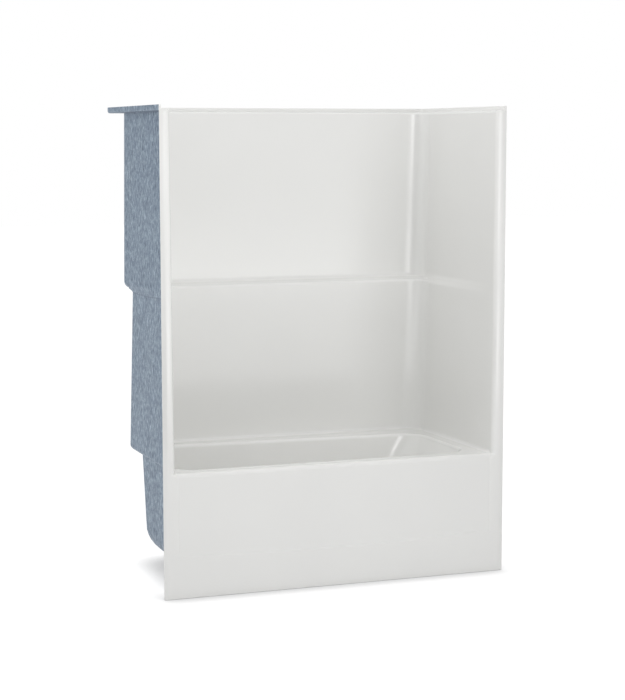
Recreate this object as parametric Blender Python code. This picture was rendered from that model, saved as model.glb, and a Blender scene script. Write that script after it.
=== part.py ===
"""One-piece moulded tub and shower for a 60 inch alcove.

A white moulded skin is backed by a fibre-reinforced laminate, laid up in zones, and stands on a
base board, foot blocks and posts. Metres, +Z up, the opening faces -Y, and the origin is on the
floor under the middle of the unit. Insets count from the unit's outer faces, and depths from its
front.
"""

import math

import bmesh
import bpy
from mathutils import Matrix, Vector

# Overall size
WIDTH = 1.524
DEPTH = 0.896
HEIGHT = 2.010

# Shell: the skin and the laminate behind it
SKIN = 0.003
LAMINATE = 0.0035
GAP = 0.0003
SHELL = SKIN + GAP + LAMINATE

# Nailing flange along the top and the ledge inside it
UPSTAND = 0.0185
UPSTAND_FOOT = 0.003
UPSTAND_CORNER = 0.014
FLANGE_LIP = 0.002
FLANGE_START = 0.170
TOP_ROUND = 0.010

# Front columns: a flat nailing strip, then a rounded bead
STRIP = 0.013
BEAD_PROUD = 0.008
COLUMN_AT_TOP = 0.045
COLUMN_AT_RIM = 0.052

# Walls: insets of the inner faces at the rear, and of the back wall
UPPER_SIDE = 0.0425
UPPER_BACK_AT_TOP = 0.107
UPPER_BACK_AT_LEDGE = 0.068
LOWER_SIDE_AT_LEDGE = 0.061
LOWER_SIDE_AT_DECK = 0.0575
LOWER_BACK_AT_LEDGE = 0.146
LOWER_BACK_AT_DECK = 0.082
REAR_RADIUS = 0.085

# Ledge half way up
LEDGE_Z = 1.2265
LEDGE_COVE = 0.012
LEDGE_EDGE = 0.013
LEDGE_FALL = 0.009
LEDGE_FULL = 0.045
LEDGE_SPREAD = 0.006

# Deck round the basin
RIM_Z = 0.515
DECK_FALL = 0.0105
DECK_COVE = 0.015
RIM_ROUND = 0.015
FRONT_ROUND = 0.018

# Apron: a field set back from the columns, with a bowed lower edge
FIELD_DEPTH = 0.004
FIELD_MARGIN = 0.012
FIELD_END_Z = 0.181
FIELD_BOW = 0.017
FIELD_STEP = 0.020
SKIN_FOOT = 0.003

# Basin: insets of its inner faces under the rim, drafts per metre of depth and radii
BASIN_LEFT = 0.092
BASIN_RIGHT = 0.126
BASIN_FRONT = 0.094
BASIN_BACK_AT_LEFT = 0.146
BASIN_BACK_AT_RIGHT = 0.231
CORNER_LEFT = 0.095
CORNER_RIGHT = 0.115
FLOOR_CORNER_SHARE = 0.60
END_DRAFT_SHARE = 0.034
FRONT_DRAFT_SHARE = 0.060
BACKREST_DRAFT_SHARE = 0.560
BASIN_BEND = 0.125
FRONT_BEND = 0.100
BACKREST_BEND = 0.160
FLOOR_Z = 0.050
FLOOR_RISE = 0.012

# Waste hole
DRAIN_RADIUS = 0.026
DRAIN_FROM_LEFT = 0.305

# Base board and foot blocks under the basin floor
BOARD = 0.018
BOARD_MARGIN = 0.020
BOARD_HOLE_CLEARANCE = 0.018
FOOT_WIDTH = 0.060
FOOT_INSET = 0.015
FOOT_PLACE_SHARES = (0.36, 0.68, 0.97)

# Timber behind the apron and on the back wall
RAIL_HEIGHT = 0.070
RAIL = 0.018
POST_WIDTH = 0.090
POST = 0.018
POST_PLACE_SHARES = (0.12, 0.50, 0.88)
BATTEN_HEIGHT = 0.089
BATTEN = 0.018
BATTEN_MARGIN = 0.060
BATTEN_PLACE_SHARE = 0.5

OVERRUN = 0.050

# Faces along each stretch of the surface
STEPS_BEAD = 2
STEPS_COLUMN = 4
STEPS_CORNER = 6
STEPS_BACK = 4
STEPS_FOOT = 2
STEPS_TOP = 3
STEPS_COVE = 2
STEPS_EDGE = 3
STEPS_RIM = 2
STEPS_BEND = 4
STEPS_FIELD = 3
HOLE_SIDES = 24
SIDE_SHARES = (0.06, 0.45, 1)
STEPS_SIDE = len(SIDE_SHARES)
SMOOTH_ANGLE = math.radians(35)

TOP_LEDGE_Z = HEIGHT - UPSTAND
COLUMN_ROUND = FRONT_ROUND + FIELD_DEPTH
QUARTER = math.pi / 2

COLOURS = {
    "acrylic": ((0.80, 0.80, 0.78), 0.22),
    "laminate": ((0.25, 0.31, 0.38), 0.62),
    "board": ((0.62, 0.50, 0.36), 0.75),
    "timber": ((0.72, 0.58, 0.40), 0.70),
}


def lerp(a, b, t):
    return a + (b - a) * t


def mix(p, q, t):
    return (lerp(p[0], q[0], t), lerp(p[1], q[1], t))


def place(inset, depth, z):
    """A point from its inset off the left face, its depth behind the front and its height."""
    return Vector((inset - WIDTH / 2, depth - DEPTH / 2, z))


def whole(left, between):
    """A row of plan points from left to right: its left half, what lies between, and the mirror image."""
    right = [(WIDTH - x, y) for x, y in reversed(left)]
    return left + between + right


def back_run(left):
    """The points between the two ends of the back stretch of a row."""
    end = left[-1]
    far = (WIDTH - end[0], end[1])
    return [mix(end, far, k / STEPS_BACK) for k in range(1, STEPS_BACK)]


def bead(front, depth):
    """The column in plan, from the outer edge of the nailing strip to the inner end of its round edge."""
    points = [(0, BEAD_PROUD)]
    for k in range(STEPS_BEAD + 1):
        turn = QUARTER * k / STEPS_BEAD
        points.append((STRIP + BEAD_PROUD * (1 - math.cos(turn)), BEAD_PROUD * (1 - math.sin(turn))))
    for k in range(STEPS_COLUMN + 1):
        turn = QUARTER * k / STEPS_COLUMN
        inset = front - COLUMN_ROUND * (1 - math.sin(turn))
        points.append((inset, depth * (1 - math.cos(turn))))
    return points


def wall_half(front, side, back):
    """The left half of a wall row in plan, up to the end of the rear corner."""
    points = bead(front, COLUMN_ROUND)
    corner_y = DEPTH - back - REAR_RADIUS
    start = points[-1]
    points += [mix(start, (side, corner_y), share) for share in SIDE_SHARES]
    for k in range(1, STEPS_CORNER + 1):
        turn = QUARTER * k / STEPS_CORNER
        inset = side + REAR_RADIUS * (1 - math.cos(turn))
        points.append((inset, corner_y + REAR_RADIUS * math.sin(turn)))
    return points


def column_at(z):
    """Inset of the column's inner edge at a height."""
    return lerp(COLUMN_AT_RIM, COLUMN_AT_TOP, (z - RIM_Z) / (TOP_LEDGE_Z - RIM_Z))


def deck_z(depth):
    """Height of the deck, which falls a little from the apron to the back wall."""
    return RIM_Z - DECK_FALL * max(0, depth - COLUMN_ROUND) / (DEPTH - LOWER_BACK_AT_DECK - COLUMN_ROUND)


def ledge_half(inside):
    """The left half of the top ledge's inner edge, one rounding behind the wall's face."""
    points = [inside[0]]
    points += [(STRIP + BEAD_PROUD * k / STEPS_BEAD, BEAD_PROUD) for k in range(STEPS_BEAD + 1)]
    first = len(points)
    face = inside[first]
    for x, y in inside[first:first + STEPS_COLUMN + 1]:
        along = (x - face[0]) / COLUMN_ROUND
        points.append((x - TOP_ROUND * along, max(BEAD_PROUD, y)))
    rear = len(points)
    for x, y in inside[rear:rear + STEPS_SIDE]:
        points.append((x - TOP_ROUND, y))
    for k, (x, y) in enumerate(inside[rear + STEPS_SIDE:], 1):
        turn = QUARTER * k / STEPS_CORNER
        points.append((x - TOP_ROUND * math.cos(turn), y + TOP_ROUND * math.sin(turn)))
    return points


def flange_half(inset):
    """The left half of a row of the nailing flange, a rectangle with small corners."""
    radius = UPSTAND_CORNER + SHELL - inset
    corner_y = DEPTH - inset - radius
    side = inset + FLANGE_LIP
    count = STEPS_BEAD + STEPS_COLUMN + 1
    points = [(0, BEAD_PROUD)]
    points += [(side, lerp(BEAD_PROUD, FLANGE_START, k / count)) for k in range(count + 1)]
    start = points[-1]
    points += [mix(start, (side, corner_y), share) for share in SIDE_SHARES]
    for k in range(1, STEPS_CORNER + 1):
        turn = QUARTER * k / STEPS_CORNER
        points.append((side + radius * (1 - math.cos(turn)), corner_y + radius * math.sin(turn)))
    return points


COLUMN_END = 1 + STEPS_BEAD + 1 + STEPS_COLUMN
SIDE_END = COLUMN_END + STEPS_SIDE
CORNER_END = SIDE_END + STEPS_CORNER
ROW_LENGTH = CORNER_END + 1 + STEPS_BACK + CORNER_END
BARE = "bare"


def row(half, heights):
    """A row of points across the unit, from its left half and one height, or a height for each point."""
    points = whole(half, back_run(half))
    if not callable(heights):
        return [place(x, y, heights) for x, y in points]
    return [place(x, y, heights(k, x, y)) for k, (x, y) in enumerate(points)]


def flange_rows():
    """The nailing flange, from its top edge down to the ledge."""
    rows = [row(flange_half(SHELL), HEIGHT)]
    for k in range(STEPS_FOOT + 1):
        turn = QUARTER * k / STEPS_FOOT
        inset = SHELL + UPSTAND_FOOT * (1 - math.cos(turn))
        rows.append(row(flange_half(inset), TOP_LEDGE_Z + UPSTAND_FOOT * (1 - math.sin(turn))))
    return rows


def top_rows():
    """The rounded top of the walls, from the ledge down to the upper wall."""
    wall_z = TOP_LEDGE_Z - TOP_ROUND
    inside = wall_half(column_at(wall_z), UPPER_SIDE, UPPER_BACK_AT_TOP)
    outside = ledge_half(inside)
    rows = []
    for k in range(STEPS_TOP + 1):
        turn = QUARTER * k / STEPS_TOP
        half = [mix(p, q, math.sin(turn)) for p, q in zip(outside, inside)]
        levels = [wall_z + TOP_ROUND * math.cos(turn)] * ROW_LENGTH
        levels[0] = levels[-1] = wall_z + TOP_ROUND * (STEPS_TOP - k) / (STEPS_TOP + 1)
        levels[1] = levels[-2] = wall_z + TOP_ROUND * (STEPS_TOP - k) / STEPS_TOP
        rows.append(row(half, lambda j, x, y, levels=levels: levels[j]))
    return rows


def ledge_profile(reach):
    """Run and height of the ledge's points below each other, where the ledge is reach deep."""
    full = []
    for k in range(STEPS_COVE + 1):
        turn = QUARTER * k / STEPS_COVE
        full.append((LEDGE_COVE * (1 - math.cos(turn)), LEDGE_Z + LEDGE_COVE * (1 - math.sin(turn))))
    for k in range(STEPS_EDGE + 1):
        turn = QUARTER * k / STEPS_EDGE
        drop = LEDGE_FALL + LEDGE_EDGE * (1 - math.cos(turn))
        full.append((reach - LEDGE_EDGE * (1 - math.sin(turn)), LEDGE_Z - drop))
    share = min(1, reach / LEDGE_FULL) ** 2
    last = len(full) - 1
    head = full[0][1] + LEDGE_SPREAD
    foot = full[last][1] - LEDGE_SPREAD
    profile = []
    for k, point in enumerate(full):
        t = k / last
        soft = (reach * t * t * (3 - 2 * t), lerp(head, foot, t))
        profile.append(mix(soft, point, share))
    return profile


def ledge_rows():
    """The ledge half way up: a cove, a shelf that falls a little, and a rounded edge."""
    column = column_at(LEDGE_Z)
    above = wall_half(column, UPPER_SIDE, UPPER_BACK_AT_LEDGE)
    below = wall_half(column, LOWER_SIDE_AT_LEDGE, LOWER_BACK_AT_LEDGE)
    reaches = []
    for k, (p, q) in enumerate(zip(above, below)):
        turn = QUARTER * max(0, k - SIDE_END) / STEPS_CORNER
        reaches.append((q[0] - p[0]) * math.cos(turn) + (p[1] - q[1]) * math.sin(turn))
    profiles = [ledge_profile(reach) for reach in reaches]
    between = [profiles[-1] for k in range(1, STEPS_BACK)]
    profiles = profiles + between + profiles[::-1]
    rows = []
    for k in range(STEPS_COVE + STEPS_EDGE + 2):
        half = [mix(p, q, pr[k][0] / reach) if reach > 0 else p
                for p, q, reach, pr in zip(above, below, reaches, profiles)]
        rows.append(row(half, lambda j, x, y, k=k: profiles[j][k][1]))
    return rows


def rim_row():
    """The foot of the walls, where the deck's cove starts; it meets the apron's top at the columns."""
    half = wall_half(COLUMN_AT_RIM, LOWER_SIDE_AT_DECK, LOWER_BACK_AT_DECK)

    def height(k, x, y):
        if min(k, ROW_LENGTH - 1 - k) <= COLUMN_END:
            return RIM_Z
        return deck_z(y) + DECK_COVE

    return row(half, height)


def field_edge(inset):
    """Height of the middle of the apron field's lower edge, which bows down between the columns."""
    half = WIDTH / 2
    share = (inset - half) / (half - COLUMN_AT_RIM)
    return FIELD_END_Z - FIELD_BOW * max(0, 1 - share * share)


def apron_profile():
    """Rows below the rim: depth of the field, how far the rounding has turned, and a height rule."""
    rows = []
    for k in range(1, STEPS_TOP + 1):
        turn = QUARTER * k / STEPS_TOP
        depth = FIELD_DEPTH + FRONT_ROUND * (1 - math.sin(turn))
        z = RIM_Z - FRONT_ROUND * (1 - math.cos(turn))
        rows.append((depth, k / STEPS_TOP, lambda x, z=z: z))
    for k in range(STEPS_FIELD + 1):
        t = k / STEPS_FIELD
        depth = FIELD_DEPTH * (1 + math.cos(math.pi * t)) / 2
        rise = FIELD_STEP * (1 - 2 * t) / 2
        rows.append((depth, 1, lambda x, rise=rise: field_edge(x) + rise))
    rows.append((0, 1, lambda x: SKIN_FOOT))
    return rows


def front_insets():
    """Insets of the apron's upright lines, which the basin's front corners and front share."""
    left = BASIN_LEFT + CORNER_LEFT
    right = WIDTH - BASIN_RIGHT - CORNER_RIGHT
    insets = [lerp(COLUMN_AT_RIM, left, k / STEPS_CORNER) for k in range(STEPS_CORNER)]
    insets += [lerp(left, right, k / STEPS_BACK) for k in range(STEPS_BACK)]
    insets += [lerp(right, WIDTH - COLUMN_AT_RIM, k / STEPS_CORNER) for k in range(STEPS_CORNER + 1)]
    return insets


def column_below(depth, turned, height):
    """A row of one column below the rim, from its outer edge to the field."""
    points = []
    for x, y in bead(COLUMN_AT_RIM, depth):
        along = max(0, 1 - (COLUMN_AT_RIM - x) / COLUMN_ROUND)
        inset = x + FIELD_MARGIN * along * turned
        points.append((inset, y))
    return [(x, y, height(x)) for x, y in points]


def apron_row(depth, turned, height):
    """A whole row below the rim: left column, apron, right column."""
    left = column_below(depth, turned, height)
    right = [(WIDTH - x, y, z) for x, y, z in reversed(left)]
    middle = [(x, depth, height(x)) for x in front_insets()[1:-1]]
    return [place(*p) for p in left + middle + right]


def bend_inset(height, top, draft, radius):
    """How far a basin side has come in at a height over the floor, with a straight draft and a bend."""
    lean = math.atan(draft)
    start = radius * (1 - math.sin(lean))
    if height >= start:
        return (top - height) * draft
    turn = math.asin(min(1, 1 - height / radius))
    return (top - start) * draft + radius * (math.cos(lean) - math.cos(turn))


def basin_corners(out, height, top):
    """The four sharp corners of the basin outline, grown by out, at a height over the floor."""
    left = BASIN_LEFT - out + bend_inset(height, top, END_DRAFT_SHARE, BASIN_BEND)
    right = WIDTH - BASIN_RIGHT + out - bend_inset(height, top, BACKREST_DRAFT_SHARE, BACKREST_BEND)
    front = BASIN_FRONT - out + bend_inset(height, top, FRONT_DRAFT_SHARE, FRONT_BEND)
    back = bend_inset(height, top, END_DRAFT_SHARE, BASIN_BEND) - out

    def back_y(x):
        along = (x - BASIN_LEFT) / (WIDTH - BASIN_LEFT - BASIN_RIGHT)
        return DEPTH - lerp(BASIN_BACK_AT_LEFT, BASIN_BACK_AT_RIGHT, along) - back

    return [(left, front), (left, back_y(left)), (right, back_y(right)), (right, front)]


def fillet(before, corner, after, radius):
    """A rounded corner in plan, as the points from one tangent point to the other."""
    a = Vector(before) - Vector(corner)
    b = Vector(after) - Vector(corner)
    a.normalize()
    b.normalize()
    half = a.angle(b) / 2
    centre = Vector(corner) + (a + b).normalized() * (radius / math.sin(half))
    start = Vector(corner) + a * (radius / math.tan(half)) - centre
    end = Vector(corner) + b * (radius / math.tan(half)) - centre
    turn = start.angle_signed(end)
    points = []
    for k in range(STEPS_CORNER + 1):
        swing = Matrix.Rotation(-turn * k / STEPS_CORNER, 2)
        points.append(tuple(centre + swing @ start))
    return points


def basin_loop(out, height, top, radii):
    """A closed ring of the basin, starting at the front of its left side, clockwise from above."""
    corners = basin_corners(out, height, top)
    rounded = []
    for k, corner in enumerate(corners):
        rounded.append(fillet(corners[k - 1], corner, corners[(k + 1) % 4], radii[k]))
    front_left, back_left, back_right, front_right = rounded
    ring = run(front_left[-1], back_left[0], STEPS_SIDE) + back_left[:-1]
    ring += run(back_left[-1], back_right[0], STEPS_BACK) + back_right[:-1]
    ring += run(back_right[-1], front_right[0], STEPS_SIDE) + front_right[:-1]
    ring += run(front_right[-1], front_left[0], STEPS_BACK) + front_left[:-1]
    return ring


def run(a, b, steps):
    """Points from a towards b, without b."""
    return [mix(a, b, k / steps) for k in range(steps)]


def floor_z(x):
    """Height of the basin floor, which falls to the waste hole at the left."""
    return FLOOR_Z + FLOOR_RISE * (x - BASIN_LEFT) / (WIDTH - BASIN_LEFT - BASIN_RIGHT)


def radii(share, out):
    """Corner radii of a basin ring; share runs from 0 at the rim to 1 at the floor."""
    shrink = lerp(1, FLOOR_CORNER_SHARE, share)
    return [r * shrink + out for r in (CORNER_LEFT, CORNER_LEFT, CORNER_RIGHT, CORNER_RIGHT)]


def basin_rows():
    """Rings from the deck's inner edge down to the floor."""
    top = RIM_Z - RIM_ROUND - FLOOR_Z
    rings = []
    for k in range(STEPS_RIM + 1):
        turn = QUARTER * k / STEPS_RIM
        out = RIM_ROUND * (1 - math.sin(turn))
        ring = basin_loop(out, top, top, radii(0, out))
        drop = RIM_ROUND * (1 - math.cos(turn))
        rings.append([place(x, y, deck_z(y) - drop) for x, y in ring])
    middle = (top + BASIN_BEND) / 2
    ring = basin_loop(0, middle, top, radii(0, 0))
    rings.append([place(x, y, lerp(floor_z(x), deck_z(y) - RIM_ROUND, middle / top)) for x, y in ring])
    for k in range(STEPS_BEND + 1):
        turn = QUARTER * k / STEPS_BEND
        height = BASIN_BEND * (1 - math.sin(turn))
        ring = basin_loop(0, height, top, radii(k / STEPS_BEND, 0))
        rings.append([place(x, y, floor_z(x) + height) for x, y in ring])
    return rings


def cove_rows(rim, apron_top):
    """Rings from the foot of the walls to the deck, with the rim's flat top along the front."""
    outer = rim[COLUMN_END:ROW_LENGTH - COLUMN_END] + apron_top[::-1][1:-1]
    side_count = ROW_LENGTH - 2 * COLUMN_END
    rings = [outer]
    for k in range(1, STEPS_COVE + 1):
        turn = QUARTER * k / STEPS_COVE
        inward = DECK_COVE * (1 - math.cos(turn))
        drop = DECK_COVE * math.sin(turn)
        ring = []
        for j, p in enumerate(outer):
            step = inward_step(outer, j) * inward
            flat = j == 0 or j >= side_count - 1
            z = deck_z(p.y + step.y + DEPTH / 2) if flat else p.z - drop
            ring.append(Vector((p.x + step.x, p.y + step.y, z)))
        rings.append(ring)
    return rings


def inward_step(ring, j):
    """Plan direction into a clockwise ring at one of its points, long enough to keep an even offset."""
    before = (ring[j] - ring[j - 1]).xy.normalized()
    after = (ring[(j + 1) % len(ring)] - ring[j]).xy.normalized()
    first = Vector((before.y, -before.x))
    second = Vector((after.y, -after.x))
    return (first + second) / (1 + first.dot(second))


class Sheet:
    """The moulded surface as one open mesh, each face with the name of its laminate zone."""

    def __init__(self):
        self.mesh = bmesh.new()
        self.zones = {}
        self.feet = set()

    def points(self, line):
        return [self.mesh.verts.new(p) for p in line]

    def strip(self, above, below, zone, closed=False):
        """Faces between two rows of vertices; zone is a rule from the face's place along the row."""
        count = len(above)
        last = count if closed else count - 1
        for k in range(last):
            n = (k + 1) % count
            face = self.mesh.faces.new((above[k], below[k], below[n], above[n]))
            self.zones[face] = zone(k)


def near_end(k):
    """How many faces a face of a wall row is from the nearer end of the row."""
    return min(k, ROW_LENGTH - 2 - k)


def across(k):
    """Which stretch of a wall row a face is in."""
    side = "left" if k < ROW_LENGTH / 2 else "right"
    near = near_end(k)
    if near < COLUMN_END:
        return "column_" + side
    if near < SIDE_END:
        return "side_" + side
    if near < CORNER_END:
        return "corner_" + side
    return "back"


def zone_rule(names):
    return lambda k: names.get(across(k), across(k))


def ring_zone(k):
    """Which stretch of a basin ring a face is in."""
    marks = (
        (STEPS_SIDE, "basin_left_end"), (STEPS_CORNER, "basin_corner_back_left"),
        (STEPS_BACK, "basin_back"), (STEPS_CORNER, "basin_corner_back_right"),
        (STEPS_SIDE, "basin_backrest"), (STEPS_CORNER, "basin_corner_front_right"),
        (STEPS_BACK, "basin_front"), (STEPS_CORNER, "basin_corner_front_left"),
    )
    for count, name in marks:
        if k < count:
            return name
        k -= count


def apron_zone(k):
    """Columns at the two ends of a row below the rim, the apron between them."""
    if k < COLUMN_END:
        return "column_left"
    return "apron" if k < COLUMN_END + len(front_insets()) - 1 else "column_right"


def build_sheet():
    """Stitches walls, columns, apron and basin into one surface."""
    sheet = Sheet()
    flange = [sheet.points(r) for r in flange_rows()]
    walls = [sheet.points(r) for r in top_rows() + ledge_rows() + [rim_row()]]
    flange_names = {"column_left": "flange_left", "column_right": "flange_right",
                    "side_left": "flange_left", "side_right": "flange_right",
                    "corner_left": "flange_corner_left", "corner_right": "flange_corner_right",
                    "back": "flange_back"}
    upper_names = {"side_left": "upper_wall_left", "side_right": "upper_wall_right",
                   "corner_left": "upper_corner_left", "corner_right": "upper_corner_right",
                   "back": "upper_wall_back"}
    lower_names = {k: v.replace("upper", "lower") for k, v in upper_names.items()}
    flange_rule = zone_rule(flange_names)
    for above, below in zip(flange, flange[1:]):
        sheet.strip(above, below, lambda k: BARE if near_end(k) < 1 else flange_rule(k))
    sheet.strip(flange[-1], walls[0], lambda k: BARE if near_end(k) <= STEPS_BEAD + 1 else flange_rule(k))
    for j, (above, below) in enumerate(zip(walls, walls[1:])):
        names = dict(upper_names if j <= STEPS_TOP else lower_names)
        if j < STEPS_TOP:
            names.update(column_left=BARE, column_right=BARE)
        sheet.strip(above, below, zone_rule(names))

    rim = walls[-1]
    right = rim[ROW_LENGTH - COLUMN_END - 1:]
    top_places = [place(x, COLUMN_ROUND, RIM_Z) for x in front_insets()]
    top = [rim[COLUMN_END]] + sheet.points(top_places[1:-1]) + [right[0]]
    above = rim[:COLUMN_END] + top + right[1:]
    for depth, turned, height in apron_profile():
        below = sheet.points(apron_row(depth, turned, height))
        sheet.strip(above, below, apron_zone)
        above = below
    sheet.feet = set(above)

    rim_places = [v.co for v in rim]
    coves = cove_rows(rim_places, top_places)
    ring = rim[COLUMN_END:ROW_LENGTH - COLUMN_END] + top[::-1][1:-1]
    for places in coves[1:] + basin_rows():
        below = sheet.points(places)
        sheet.strip(ring, below, ring_zone, closed=True)
        ring = below
    floor = sheet.mesh.faces.new(ring)
    sheet.zones[floor] = "basin_floor"

    bmesh.ops.recalc_face_normals(sheet.mesh, faces=sheet.mesh.faces)
    if floor.normal.z < 0:
        bmesh.ops.reverse_faces(sheet.mesh, faces=sheet.mesh.faces)
    split = bmesh.ops.triangulate(sheet.mesh, faces=list(sheet.mesh.faces))
    for new, old in split["face_map"].items():
        sheet.zones[new] = sheet.zones[old]
    sheet.mesh.verts.ensure_lookup_table()
    sheet.mesh.verts.index_update()
    return sheet


def seam_shift(sheet, vert, faces, half_seam):
    """Moves a vertex of a zone back from the zones next to it, by half a seam from each."""
    shift = []
    for edge in vert.link_edges:
        own = [f for f in edge.link_faces if f in faces]
        others = [f for f in edge.link_faces if f not in faces and sheet.zones[f] != BARE]
        if own and others:
            along = edge.other_vert(vert).co - vert.co
            side = own[0].normal.cross(along).normalized()
            if side.dot(own[0].calc_center_median() - vert.co) < 0:
                side.negate()
            shift.append(side)
    if not shift:
        return Vector()
    if len(shift) == 1:
        return shift[0] * half_seam
    first, second = shift[:2]
    return (first + second) * (half_seam / max(1 + first.dot(second), 0.5))


def shell_mesh(sheet, name, faces, near, far, half_seam, to_floor):
    """A closed solid between two even offsets behind the sheet, over some of its faces."""
    solid = bmesh.new()
    layers = {}
    for face in faces:
        for vert in face.verts:
            if vert in layers:
                continue
            shift = seam_shift(sheet, vert, faces, half_seam)
            reach = vert.normal * vert.calc_shell_factor()
            pair = []
            for distance in (near, far):
                spot = vert.co - reach * distance + shift
                if to_floor and vert in sheet.feet:
                    spot.z = 0
                pair.append(solid.verts.new(spot))
            layers[vert] = pair
    for face in faces:
        front = [layers[v][0] for v in face.verts]
        back = [layers[v][1] for v in face.verts]
        solid.faces.new(front)
        solid.faces.new(back[::-1])
        for loop in face.loops:
            others = [f for f in loop.edge.link_faces if f is not face and f in faces]
            if not others:
                a, b = sorted((loop.vert, loop.link_loop_next.vert), key=lambda v: v.index)
                solid.faces.new((layers[a][0], layers[b][0], layers[b][1]))
                solid.faces.new((layers[a][0], layers[b][1], layers[a][1]))
    bmesh.ops.recalc_face_normals(solid, faces=solid.faces)
    mesh = bpy.data.meshes.new(name)
    solid.to_mesh(mesh)
    solid.free()
    return mesh


def material(name):
    """The Principled material of that name, made once."""
    found = bpy.data.materials.get(name)
    if found:
        return found
    made = bpy.data.materials.new(name)
    made.use_nodes = True
    shader = made.node_tree.nodes["Principled BSDF"]
    colour, roughness = COLOURS[name]
    shader.inputs["Base Color"].default_value = (*colour, 1)
    shader.inputs["Roughness"].default_value = roughness
    shader.inputs["Metallic"].default_value = 0
    return made


def add_object(name, mesh, finish, smooth=False):
    """Links a named object with its own material."""
    thing = bpy.data.objects.new(name, mesh)
    bpy.context.scene.collection.objects.link(thing)
    own = material(finish).copy()
    own.name = name + "_" + finish
    mesh.materials.append(own)
    if smooth:
        mesh.shade_smooth()
        mesh.set_sharp_from_angle(angle=SMOOTH_ANGLE)
    return thing


def cutter(name, radius, start, end):
    """A round cutter between two points, kept out of the model."""
    middle = (start + end) / 2
    length = (end - start).length
    tool = bmesh.new()
    bmesh.ops.create_cone(tool, cap_ends=True, segments=HOLE_SIDES, radius1=radius, radius2=radius,
                          depth=length)
    turn = (end - start).to_track_quat("Z", "Y").to_matrix().to_4x4()
    bmesh.ops.transform(tool, matrix=Matrix.Translation(middle) @ turn, verts=tool.verts)
    mesh = bpy.data.meshes.new(name)
    tool.to_mesh(mesh)
    tool.free()
    thing = bpy.data.objects.new(name, mesh)
    bpy.context.scene.collection.objects.link(thing)
    thing.hide_render = True
    thing.display_type = "WIRE"
    return thing


def cut(thing, tool):
    hole = thing.modifiers.new(tool.name, "BOOLEAN")
    hole.operation = "DIFFERENCE"
    hole.object = tool


def prism(outline, along, length):
    """A closed solid: an outline of points, pushed along a direction."""
    solid = bmesh.new()
    face = solid.faces.new([solid.verts.new(p) for p in outline])
    pushed = bmesh.ops.extrude_face_region(solid, geom=[face])
    moved = [g for g in pushed["geom"] if isinstance(g, bmesh.types.BMVert)]
    bmesh.ops.translate(solid, vec=Vector(along) * length, verts=moved)
    bmesh.ops.recalc_face_normals(solid, faces=solid.faces)
    return solid


def solid_object(name, solid, finish):
    mesh = bpy.data.meshes.new(name)
    solid.to_mesh(mesh)
    solid.free()
    return add_object(name, mesh, finish)


def floor_outline():
    """The flat of the basin floor, in plan."""
    top = RIM_Z - RIM_ROUND - FLOOR_Z
    return basin_corners(0, 0, top)


def drain_cutter(name, radius):
    """A cutter down through the basin floor at the waste hole."""
    corners = floor_outline()
    centre_y = (corners[0][1] + corners[1][1]) / 2
    low = place(DRAIN_FROM_LEFT, centre_y, -OVERRUN)
    high = place(DRAIN_FROM_LEFT, centre_y, FLOOR_Z + OVERRUN)
    return cutter(name, radius, low, high)


def build_base():
    """The board bonded under the basin floor, and the foot blocks cut to level it."""
    corners = floor_outline()
    left = corners[0][0] + BOARD_MARGIN
    right = corners[3][0] - BOARD_MARGIN
    front = corners[0][1] + BOARD_MARGIN
    back = corners[2][1] - BOARD_MARGIN
    under = SHELL + GAP + BOARD
    outline = [place(left, front, floor_z(left) - under),
               place(left, corners[1][1] - BOARD_MARGIN, floor_z(left) - under),
               place(right, back, floor_z(right) - under),
               place(right, front, floor_z(right) - under)]
    board = solid_object("base_board", prism(outline, (0, 0, 1), BOARD), "board")
    cut(board, drain_cutter("board_cutter", DRAIN_RADIUS + BOARD_HOLE_CLEARANCE))
    depth = back - front - 2 * FOOT_INSET
    low = under + GAP
    for number, share in enumerate(FOOT_PLACE_SHARES, 1):
        start = lerp(left, right - FOOT_WIDTH, share)
        end = start + FOOT_WIDTH
        outline = [place(start, front + FOOT_INSET, 0), place(end, front + FOOT_INSET, 0),
                   place(end, front + FOOT_INSET, floor_z(end) - low),
                   place(start, front + FOOT_INSET, floor_z(start) - low)]
        solid_object("foot_block_%d" % number, prism(outline, (0, 1, 0), depth), "timber")


def build_front_timber():
    """The rail along the apron's foot and the posts that carry the front rim."""
    behind = SHELL + GAP
    left = COLUMN_AT_RIM + FIELD_MARGIN
    length = WIDTH - 2 * left
    outline = [place(left, behind, 0), place(left, behind + RAIL, 0),
               place(left, behind + RAIL, RAIL_HEIGHT), place(left, behind, RAIL_HEIGHT)]
    solid_object("apron_rail", prism(outline, (1, 0, 0), length), "timber")
    post_y = behind + RAIL + GAP
    front_top = deck_z(post_y) - SHELL - GAP
    back_top = deck_z(post_y + POST) - SHELL - GAP
    for number, share in enumerate(POST_PLACE_SHARES, 1):
        start = lerp(left, WIDTH - left - POST_WIDTH, share)
        outline = [place(start, post_y, 0), place(start, post_y + POST, 0),
                   place(start, post_y + POST, back_top), place(start, post_y, front_top)]
        solid_object("rim_post_%d" % number, prism(outline, (1, 0, 0), POST_WIDTH), "timber")


def add_batten(name, low, high):
    """A batten bonded across the outside of a stretch of the back wall, between two (depth, height) ends."""
    along = (high - low).normalized()
    out = Vector((along.y, -along.x))
    foot = low.lerp(high, BATTEN_PLACE_SHARE) - along * (BATTEN_HEIGHT / 2)
    near = out * (SHELL + GAP)
    far = near + out * BATTEN
    head = along * BATTEN_HEIGHT
    left = max(UPPER_SIDE, LOWER_SIDE_AT_LEDGE) + REAR_RADIUS + BATTEN_MARGIN
    section = [foot + near, foot + far, foot + far + head, foot + near + head]
    outline = [place(left, depth, height) for depth, height in section]
    solid_object(name, prism(outline, (1, 0, 0), WIDTH - 2 * left), "timber")


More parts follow.
